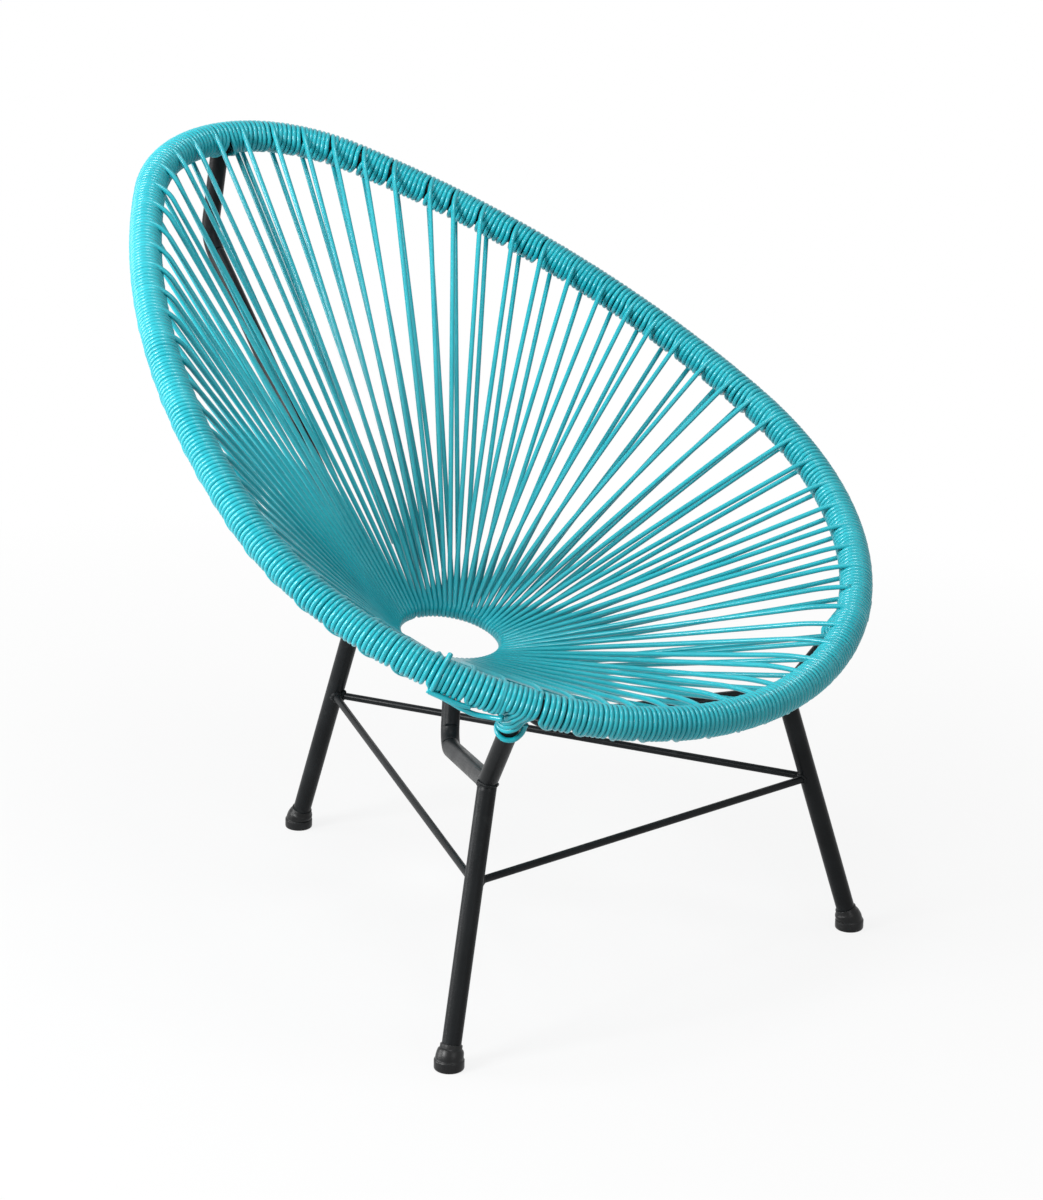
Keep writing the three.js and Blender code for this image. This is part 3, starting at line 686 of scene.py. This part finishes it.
# %% Tools for bent tubes
def rounded(corners, radius):
    """Straight runs joined by arcs of one radius, with a point at least every 12 mm. At a corner that turns
    by 2h the arc's middle point lies radius / cos h - radius from the corner, on the line that halves it."""
    corners = np.asarray(corners)
    path = [corners[:1]]
    for before, corner, after in zip(corners[:-2], corners[1:-1], corners[2:]):
        arrive, leave = unit(corner - before), unit(after - corner)
        half = np.arccos(arrive @ leave) / 2
        inward, forward = unit(leave - arrive), unit(arrive + leave)
        swing = np.linspace(-half, half, 15)[:, None]
        arc = np.sin(swing) * forward - np.cos(swing) * inward
        path.append(corner + inward * radius / np.cos(half) + radius * arc)
    path = np.vstack(path + [corners[-1:]])
    at = travelled(path)
    steps = np.union1d(at, np.linspace(0, at[-1], int(at[-1] / 0.012)))
    return np.stack([np.interp(steps, at, path[:, axis]) for axis in range(3)], -1)


def steel(name, path, radius, up, cad_node, sides=28):
    """A round tube or rod along a path that takes the place of one CAD node."""
    grid = tube(path, np.asarray(up, float), radius, sides)
    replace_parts(skin(name, grid, travelled(path), frame_paint), cad_node)


def at_height(low_end, high_end, height):
    """The spot of a straight run that stands at a height."""
    return low_end + (high_end - low_end) * (height - low_end[2]) / (high_end[2] - low_end[2])


# %% The arms, the spine, the legs and the rods between them
FOOT_FRONT = np.array([0.286, RIM_MIDDLE_Y - 0.319, 0.008])
FOOT_BACK = np.array([0.0, RIM_MIDDLE_Y + 0.285, 0.008])
ROD, ROD_HEIGHT, ROD_SIDES = 0.008, 0.180, 16
ARM_BEND, SPINE_BEND = 0.028, 0.045
SIDEWAYS, BACKWARDS, UPWARDS = [1.0, 0, 0], [0, 1.0, 0], [0, 0, 1.0]
arm_head = rim(np.array([ARM_DISTANCE]))[0][0]
arm_ring = ring_spot(np.array([ARM_STATION]), 0.0, 0.0)[0][0]
spine_ring = ring_spot(np.array([0]), 0.0, 0.0)[0][0]
arm_path = rounded([arm_head, KNEE, ELBOW, arm_ring], ARM_BEND)
spine_path = rounded([RIM_HEAD, SPINE_TOP, SPINE_FOOT, spine_ring], SPINE_BEND)
rod_front = at_height(FOOT_FRONT, KNEE, ROD_HEIGHT)
rod_back = at_height(FOOT_BACK, SPINE_FOOT, ROD_HEIGHT)

front_leg, rear_leg = np.linspace(FOOT_FRONT, KNEE, 30), np.linspace(FOOT_BACK, SPINE_FOOT, 30)
side_rod, front_rod = np.linspace(rod_front, rod_back, 40), np.linspace(rod_front, rod_front * MIRROR, 40)
for side_name, mirror in (("left", np.ones(3)), ("right", MIRROR)):
    steel(f"arm_tube_{side_name}", arm_path * mirror, TUBE / 2, mirror * [1.0, 0.1, 0.3],
          f"front_tube_{side_name}")
    steel(f"front_leg_{side_name}", front_leg * mirror, TUBE / 2, BACKWARDS, f"leg_front_{side_name}")
    steel(f"side_rod_{side_name}", side_rod * mirror, ROD / 2, UPWARDS, f"tie_rod_{side_name}", ROD_SIDES)
steel("spine_tube", spine_path, TUBE / 2, SIDEWAYS, "back_spine")
steel("rear_leg", rear_leg, TUBE / 2, SIDEWAYS, "leg_back")
steel("front_rod", front_rod, ROD / 2, UPWARDS, "tie_rod_front", ROD_SIDES)

# %% [markdown]
# The hoop under the winding and the ring in the bowl are closed loops. A torus would do for the ring, but not
# for the egg, so both are tubes along their own formula's middle line, whose last row joins the first.


# %% Closed loops: the hoop and the ring
def loop(path, up, radius, sides):
    """Rings of points along a closed path, with the first ring repeated as the last."""
    around = np.vstack([path[-1:], path, path[:1]])
    ups = np.vstack([up[-1:], up, up[:1]])
    radii = np.broadcast_to(np.asarray(radius, float).reshape(-1, 1), (len(path), 1))
    rings = tube(around, ups, np.vstack([radii[-1:], radii, radii[:1]]), sides)[1:-1]
    return np.concatenate([rings, rings[:1]])


def closed_piece(name, grids):
    """A painted mesh of closed loops. The repeated ring is merged away and the end fans are left out, so no
    seam and no wall stays inside."""
    points, faces, uvs, start = [], [], [], 0
    for grid in grids:
        rows, columns = grid.shape[0] - 1, grid.shape[1]
        row, column = np.arange(rows)[:, None], np.arange(columns)[None, :]
        following, beyond = (column + 1) % columns, (row + 1) % rows
        quads = np.stack([row * columns + column, row * columns + following,
                          beyond * columns + following, beyond * columns + column], -1).reshape(-1, 4)
        along = travelled(grid.mean(1))[:, None] * np.ones(columns + 1)
        share = np.arange(columns + 1)[None, :] / columns * np.ones((rows + 1, 1))
        corner = np.stack([along, share], -1)
        corners = [corner[:-1, :-1], corner[:-1, 1:], corner[1:, 1:], corner[1:, :-1]]
        uvs.append(np.stack(corners, 2).reshape(-1, 2))
        points.append(grid[:-1].reshape(-1, 3))
        faces += (quads + start).tolist()
        start += rows * columns
    return piece_of(name, points, faces, uvs, frame_paint)


HOOP_STEPS, RING_STEPS = 360, 120
hoop_path, _, hoop_out = rim(np.linspace(0, RIM_LENGTH, HOOP_STEPS, endpoint=False))
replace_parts(closed_piece("egg_hoop", [loop(hoop_path, hoop_out, HOOP / 2, 20)]), "rim_hoop")
ring_path, ring_out = ring_spot(np.linspace(0, STATIONS, RING_STEPS, endpoint=False), 0.0, 0.0)
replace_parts(closed_piece("bowl_ring", [loop(ring_path, ring_out, RING_BAR / 2, 24)]), "centre_ring")

# %% [markdown]
# ## Weld seams
# A weld is a rope of set metal laid round the place where two tubes meet. That place could be found by
# cutting one mesh with the other, but here it comes from the branch's own side lines: each is followed
# towards the run until it comes within the run's radius of the run's middle line. The rope is thicker where
# the welder paused, so its radius ripples.


# %% Find a seam and lay its bead
def seam(run, run_radius, foot, head, radius, count=56):
    """For each side line of the branch from foot to head, the first spot within the run's radius of the
    run's middle line, with the way out from the branch there. A side line is searched from 50 mm before the
    branch's head to 4 mm past it, against the part of the run within 45 mm of that head."""
    axis = unit(head - foot)
    side = unit(np.cross(axis, np.array([0.31, 0.87, 0.37])))
    turn = np.linspace(0, 2 * np.pi, count, endpoint=False)[:, None]
    out = np.cos(turn) * side + np.sin(turn) * np.cross(axis, side)
    reach = np.linspace(-0.05, 0.004, 200)[:, None, None]
    lines = head + reach * axis + radius * out
    share, fine_share = np.linspace(0, 1, len(run)), np.linspace(0, 1, 700)
    fine = np.stack([np.interp(fine_share, share, run[:, k]) for k in range(3)], -1)
    fine = fine[np.linalg.norm(fine - head, axis=1) < 0.045]
    gap = np.linalg.norm(lines[:, :, None] - fine, axis=-1).min(-1)
    hit = np.where((gap < run_radius).any(0), np.argmax(gap < run_radius, axis=0), np.argmin(gap, axis=0))
    return lines[hit, np.arange(count)], out


def bead(run, run_radius, foot, head, radius, size, seed):
    """A rippled rope along a seam: size x (1 + three waves of 11, 5 and 17 turns that start by chance)."""
    path, out = seam(run, run_radius, foot, head, radius)
    turn = np.linspace(0, 2 * np.pi, len(path), endpoint=False)
    chance = np.random.default_rng(seed).uniform(0, 6.28, 3)
    ripple = (1 + 0.10 * np.sin(11 * turn + chance[0]) + 0.08 * np.sin(5 * turn + chance[1])
              + 0.05 * np.sin(17 * turn + chance[2]))
    return loop(path, out, size * ripple, 12)


# %% Every bead of the frame
BACK_BEAD, RING_BEAD, KNEE_BEAD, ROD_BEAD, BACK_ROD_BEAD = 0.0038, 0.0030, 0.0021, 0.0019, 0.0030
AT_RING, AT_KNEE = TUBE / 2 * 0.8, TUBE / 2 * 0.93
ring_closed = np.vstack([ring_path, ring_path[:1]])
back_line = np.linspace(FOOT_BACK, SPINE_FOOT, 200)
beads = [bead(spine_path, TUBE / 2, FOOT_BACK, SPINE_FOOT, TUBE / 2, BACK_BEAD, 3),
         bead(ring_closed, RING_BAR / 2, SPINE_FOOT, spine_ring, AT_RING, RING_BEAD, 4)]
rod_beads = []
for mirror, seed in ((np.ones(3), 5), (MIRROR, 6)):
    leg_foot, knee = FOOT_FRONT * mirror, KNEE * mirror
    leg_line = np.linspace(leg_foot, knee, 200)
    front_end, back_end = rod_front * mirror, rod_back * mirror
    elbow, ring_end = ELBOW * mirror, arm_ring * mirror
    beads += [bead(arm_path * mirror, TUBE / 2, leg_foot, knee, AT_KNEE, KNEE_BEAD, seed),
              bead(ring_closed, RING_BAR / 2, elbow, ring_end, AT_RING, RING_BEAD, seed + 4)]
    rod_beads += [bead(leg_line, TUBE / 2, back_end, front_end, ROD / 2, ROD_BEAD, seed + 8),
                  bead(back_line, TUBE / 2, front_end, back_end, ROD / 2, BACK_ROD_BEAD, seed + 12),
                  bead(leg_line, TUBE / 2, front_end * MIRROR, front_end, ROD / 2, ROD_BEAD, seed + 16)]
closed_piece("weld_beads", beads + rod_beads)

# %% [markdown]
# ## The feet
# Each leg ends in a moulded cap: a flat round sole, an upright band with a small ridge, and a shoulder that
# leans over to follow the leg. A turned shape would stand straight up and miss the leg's slant. So it is a
# profile whose rings start level and turn square to the leg on their way up.

# %% The cap's profile, from the sole's edge to the collar
CAP_RADIUS, BAND, RIDGE, COLLAR_RADIUS, CAP_TOP = 0.0155, 0.0105, 0.0012, 0.0114, 0.025
SOLE_EDGE, SHOULDER, STEP, CAP_BORE = 0.0025, 0.0100, 0.0006, 0.0098
turned = np.linspace(0, np.pi / 2, 7)
edge_z, edge_r = SOLE_EDGE * (1 - np.cos(turned)), CAP_RADIUS - SOLE_EDGE * (1 - np.sin(turned))
dome = np.linspace(0, 1, 10)
dome_z = BAND + STEP + dome * SHOULDER
dome_r = COLLAR_RADIUS + (CAP_RADIUS - RIDGE - COLLAR_RADIUS) * np.sqrt(np.clip(1 - dome**2.2, 0, 1))
profile_z = np.concatenate([edge_z, [BAND - STEP, BAND, BAND + 0.0004], dome_z,
                            [CAP_TOP - STEP, CAP_TOP, CAP_TOP]])
profile_r = np.concatenate([edge_r, [CAP_RADIUS, CAP_RADIUS - 0.0002, CAP_RADIUS - RIDGE + 0.0002], dome_r,
                            [COLLAR_RADIUS, COLLAR_RADIUS - STEP, CAP_BORE]])
print("cap", 2e3 * CAP_RADIUS, "mm across and", 1e3 * CAP_TOP, "mm high")

# %% Loft the three caps
LEANS_FROM, LEANS_OVER = 0.008, 0.011


def cap(foot, leg_head, sides=40):
    """Rings of the cap: centres rise up the leg's line, radii follow the profile, and each ring's facing
    turns from straight up to the leg's own direction between the band and the shoulder."""
    axis = unit(leg_head - foot)
    lean = ease((profile_z - LEANS_FROM) / LEANS_OVER)[:, None]
    upright_centre = np.array([foot[0], foot[1], 0.0]) + profile_z[:, None] * np.array(UPWARDS)
    leg_centre = foot + axis * ((profile_z[:, None] - foot[2]) / axis[2])
    centre = upright_centre * (1 - lean) + leg_centre * lean
    facing = unit(np.array(UPWARDS) * (1 - lean) + axis * lean)
    side = unit(np.cross(facing, np.array(BACKWARDS)))
    ahead = np.cross(facing, side)
    turn = np.linspace(0, 2 * np.pi, sides, endpoint=False)[None, :, None]
    round_it = np.cos(turn) * side[:, None] + np.sin(turn) * ahead[:, None]
    return centre[:, None] + profile_r[:, None, None] * round_it


for side_name, foot, leg_head, cad_node in (
        ("left", FOOT_FRONT, KNEE, "foot_cap_front_left"),
        ("right", FOOT_FRONT * MIRROR, KNEE * MIRROR, "foot_cap_front_right"),
        ("rear", FOOT_BACK, SPINE_FOOT, "foot_cap_back")):
    rings = cap(foot, leg_head)
    foot_cap = skin(f"foot_{side_name}", rings, travelled(rings[:, 0]), foot_plastic)
    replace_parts(foot_cap, cad_node)

# %% [markdown]
# ## The lashings at the arms
# At each arm the cord can't pass under the rim, because the tube is welded there. So the turns leave the
# outside of the rim beside the tube, go down and round it, one under the next, and come back up inside.
#
# On the tube's own surface, unrolled flat, such a nest of turns is a set of half circles about one centre:
# the first turn has the widest, and each next one lies a cord's width inside it. Key spots on those circles
# and on the rim, with a smooth path through them, follow the real lashing more closely than plain loops.

# %% Smooth paths, and spots round an arm tube
tube_wrap = TUBE / 2 + CORD / 2 + HAIR


def through(keys, steps):
    """A smooth path through key spots. Between two of them it is the cubic whose slope at each key is half
    the chord between its neighbours."""
    keys = np.concatenate([2 * keys[:1] - keys[1:2], keys, 2 * keys[-1:] - keys[-2:-1]])
    t = np.linspace(0, 1, steps, endpoint=False)[None, :, None]
    a, b, c, d = (keys[i:len(keys) - 3 + i, None] for i in range(4))
    bowed, bent_back = a - 2.5 * b + 2 * c - 0.5 * d, 1.5 * (b - c) + 0.5 * (d - a)
    curve = b + 0.5 * (c - a) * t + bowed * t**2 + bent_back * t**3
    return np.concatenate([curve.reshape(-1, keys.shape[1]), keys[-2:-1]])


def lay(name, spots, ups, steps):
    """One tube of cord through key spots, with the ways out there as its up directions."""
    return cord_along(name, through(spots, steps), through(ups, steps))


def arm_axes(mirror, distance):
    """The arm tube's own directions at the rim: down its run, the way on along the rim, and out."""
    head, onward, rim_out = rim(np.array([distance]))
    run = unit(KNEE * mirror - head[0])
    way_on = unit(onward[0] - (onward[0] @ run) * run)
    outward = np.cross(way_on, run)
    return head[0], run, way_on, outward * np.sign(outward @ rim_out[0])


def on_tube(axes, depth, turn, reach=tube_wrap):
    """Spots round the arm tube at a depth below the rim: turn 0 faces along the rim, a quarter turn faces
    out. Gives each spot with its way out from the tube."""
    head, run, way_on, outward = axes
    facing = np.cos(turn)[:, None] * way_on + np.sin(turn)[:, None] * outward
    return head + depth[:, None] * run + reach * facing, facing


print("cord round a tube runs", round(tube_wrap * 1e3, 1), "mm from its middle line")

# %% Key spots of a lashing, on the rim and on the arm tube
NEST_TURNS, NEST_PITCH, NEST_FROM = 6, 0.0052, 0.0165
NEST_WIDEST, NEST_AROUND, NEST_DEPTH = 0.0325, 0.0225, 0.003
PLAIN_TURN, PLAIN_ADVANCE = np.radians([90, 40, -15, -70, -125, -180, -230]), 0.0046
AFTER_TUBE, WAY_OUT = np.linspace(0.0140, 0.0182, len(PLAIN_TURN)), np.array([0.0190, 0.0192, 0.0195])


def lashing_keys(axes, distance, start, end, plain_turns):
    """Key spots from the turn before the tube to the cord's way out behind it, with their ways out: plain
    turns of the rim where the station begins early, then the nest, and one plain turn past the tube. A turn
    of the nest starts on top of the rim at -NEST_FROM + NEST_PITCH x its number, and its half circle on the
    unrolled tube is (NEST_AROUND - r cos s, NEST_DEPTH + r sin s)."""
    found = [start]
    for number in range(plain_turns, 0, -1):
        begin = distance - NEST_FROM - NEST_PITCH * number
        plain = np.linspace(begin, begin + PLAIN_ADVANCE, len(PLAIN_TURN))
        found.append(round_rim(plain, PLAIN_TURN, turn_radius))
    sweep = np.linspace(0.25, np.pi, 9)
    for number, radius in enumerate(NEST_WIDEST - NEST_PITCH * np.arange(NEST_TURNS)):
        top = -NEST_FROM + NEST_PITCH * number
        going_over = distance + top + np.array([0, 0.0006, 0.0020])
        found.append(round_rim(going_over, np.radians([90, 45, 5]), turn_radius))
        around, depth = NEST_AROUND - radius * np.cos(sweep), NEST_DEPTH + radius * np.sin(sweep)
        found.append(on_tube(axes, depth, np.pi / 2 - around / tube_wrap))
        leaves_tube = tube_wrap * np.cos(np.pi / 2 - around[-1] / tube_wrap)
        behind = np.interp([0.35, 0.6, 0.85], [0, 1], [leaves_tube, top + NEST_PITCH])
        found.append(round_rim(distance + behind, np.radians([205, 165, 128]), turn_radius + 0.0003))
    found.append(round_rim(distance + AFTER_TUBE, PLAIN_TURN, turn_radius))
    found.append(round_rim(distance + WAY_OUT, PLAIN_TURN[:len(WAY_OUT)], turn_radius))
    found.append(end)
    return [np.vstack(rows) for rows in zip(*found)]


print("a nest has", NEST_TURNS, "turns, the widest", NEST_WIDEST * 1e3, "mm in radius")

# %% [markdown]
# Each lashing starts where one stretch of laced cord ends and leads into the next. Under it sits one spare
# turn round the arm tube, slanting, as on the arm near the camera. It could be a plain ring, but the real
# one leans, so its depth under the rim changes on its way round.

# %% Lay both lashings, and one spare turn under each
SPARE_TURN = np.radians([172, 168, 150, 115, 75, 35, -5, -50, -95, -135, -150])
SPARE_DEPTH = np.array([25, 30, 36, 41, 43, 42.5, 41, 40, 38, 35, 32]) / 1000
SPARE_REACH = tube_wrap + 0.0002
for side_name, mirror, number, distance in (("left", np.ones(3), LASHED[0], tube_places[1]),
                                            ("right", MIRROR, LASHED[1], tube_places[2])):
    axes = arm_axes(mirror, distance)
    start = (windings[number, :1], winding_up[number, :1])
    end = (windings[number, -3:], winding_up[number, -3:])
    plain_turns = int(np.round((distance - NEST_FROM - place[number]) / NEST_PITCH))
    lashing = lay(f"lashing_{side_name}", *lashing_keys(axes, distance, start, end, plain_turns), 4)
    print(side_name, "lashing, plain turns before it", plain_turns)
    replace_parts(lashing, f"arm_lashing_{side_name}")
    lay(f"spare_turn_{side_name}", *on_tube(axes, SPARE_DEPTH, SPARE_TURN, SPARE_REACH), 6)

# %% [markdown]
# Beside the lashing on the chair's right, a loose tail of cord runs back along the underside of the rim. It is
# held by one raised turn, whose cut ends stick out above and below. Each is a few key spots on the rim: how
# far along it from the arm, the angle round it, and how high the cord lies over a second layer.

# %% The loose tail and the raised turn that holds it
SECOND_REACH = turn_radius + CORD * 0.90
tail_runs = {
    "loose_tail": ([0.012, 0.024, 0.038, 0.052, 0.067, 0.086],
                   [-36, -58, -66, -62, -57, -54],
                   [0.0, 0.0015, 0.0042, 0.0030, 0.0006, 0.0002]),
    "tail_end": ([0.044, 0.056, 0.070, 0.088],
                 [-50, -45, -42, -40],
                 [-0.0015, 0.0, 0.0, 0.0]),
    "raised_turn": ([0.0845, 0.0840, 0.0835, 0.0830, 0.0825, 0.0820, 0.0816],
                    [-66, -42, -8, 28, 64, 94, 112],
                    [-0.0002, -0.0016, -0.0026, -0.0030, -0.0030, -0.0010, 0.0028])}
for tail_name, (along_rim, degrees, lift) in tail_runs.items():
    reach = SECOND_REACH + np.array(lift)
    lay(tail_name, *round_rim(tube_places[2] + np.array(along_rim), np.radians(degrees), reach), 8)

# %% [markdown]
# ## Floor and light
# The chair stands on a plain pale floor under large soft lamps. The background is white to the camera, to
# reflections and to glass, and adds only a faint light of its own to what falls on the chair. More light
# would whiten the floor as well, but it would bleach the cord with it.


# %% Lay the floor
def sees_background(tree):
    """1 for the rays that show the white background: those of the camera, of reflections and of glass."""
    rays = tree.nodes.new("ShaderNodeLightPath").outputs
    either = node(tree, "Math", {"operation": "MAXIMUM"},
                  _0=rays["Is Camera Ray"], _1=rays["Is Glossy Ray"]).outputs[0]
    return node(tree, "Math", {"operation": "MAXIMUM"},
                _0=either, _1=rays["Is Transmission Ray"]).outputs[0]


FLOOR = 9.0
floor_mesh = bpy.data.meshes.new("floor")
floor_corners = [(-FLOOR, -FLOOR, 0), (FLOOR, -FLOOR, 0), (FLOOR, FLOOR, 0), (-FLOOR, FLOOR, 0)]
floor_mesh.from_pydata(floor_corners, [], [(0, 1, 2, 3)])
floor = bpy.data.objects.new("floor", floor_mesh)
bpy.context.scene.collection.objects.link(floor)

# The floor shows mostly its own white and keeps a little of the shadow near the chair. Further away it is
# all white, so its edge is lost in the background.
SHADE_ENDS, WHITE_FROM, LEAST_GLOW = 0.45, 1.5, 0.86
floor_paint, tree, shader, spot = finish_tree("pale_floor")
speckle = place_group(tree, tone_group, Vector=spot["Object"], Tone_Scale=3.0, Grain_Scale=260.0)
tree.links.new(mix(tree, speckle["Tone"], (0.57, 0.57, 0.57, 1), (0.60, 0.60, 0.60, 1)),
               shader.inputs["Base Color"])
tree.links.new(spread_to(tree, speckle["Grain"], 0.62, 0.72), shader.inputs["Roughness"])
shader.inputs["Specular IOR Level"].default_value = 0.2
away = node(tree, "VectorMath", {"operation": "LENGTH"}, _0=spot["Object"]).outputs["Value"]
glow_share = node(tree, "MapRange", Value=away, From_Min=SHADE_ENDS, From_Max=WHITE_FROM,
                  To_Min=LEAST_GLOW, To_Max=1.0).outputs[0]
white = node(tree, "Emission", Color=(1, 1, 1, 1), Strength=1.0)
blend = node(tree, "Math", {"operation": "MULTIPLY"}, _0=glow_share, _1=sees_background(tree))
both = node(tree, "MixShader", _0=blend.outputs[0], _1=shader.outputs[0], _2=white.outputs[0])
tree.links.new(both.outputs[0], tree.nodes["Material Output"].inputs["Surface"])
floor_mesh.materials.append(floor_paint)
print("floor", 2 * FLOOR, "m wide")

# %% Light the background and hang the lamps
FAINT = 0.15
world = bpy.data.worlds.new("studio")
bpy.context.scene.world = world
world.use_nodes = True
tree = world.node_tree
backdrop = tree.nodes["Background"]
backdrop.inputs["Color"].default_value = (1, 1, 1, 1)
tree.links.new(spread_to(tree, sees_background(tree), FAINT, 1.0), backdrop.inputs["Strength"])


def lamp(name, spot, aim, size, power):
    """A square area lamp at a spot, turned so that its back points away from what it is aimed at."""
    light = bpy.data.lights.new(name, "AREA")
    light.size, light.energy = size, power
    made = bpy.data.objects.new(name, light)
    bpy.context.scene.collection.objects.link(made)
    away = unit(np.array(spot, float) - np.array(aim, float))
    flat = unit(np.cross(np.array(UPWARDS), away))
    turned = np.eye(4)
    turned[:3, 0], turned[:3, 1], turned[:3, 2], turned[:3, 3] = flat, np.cross(away, flat), away, spot
    made.matrix_world = Matrix(turned.tolist())
    print("lamp", name, power, "W,", size, "m wide")


lamp("key", (-2.9, 0.2, 1.8), (0, 0, 0.4), 1.1, 125)
lamp("side", (-2.3, 2.0, 0.8), (0, 0, 0.45), 1.6, 70)
lamp("fill", (-0.6, -3.4, 1.7), (0, 0, 0.4), 1.4, 20)
lamp("top", (-0.2, -0.5, 3.1), (0, 0, 0.3), 1.0, 46)
bpy.context.scene.view_settings.view_transform = "Standard"
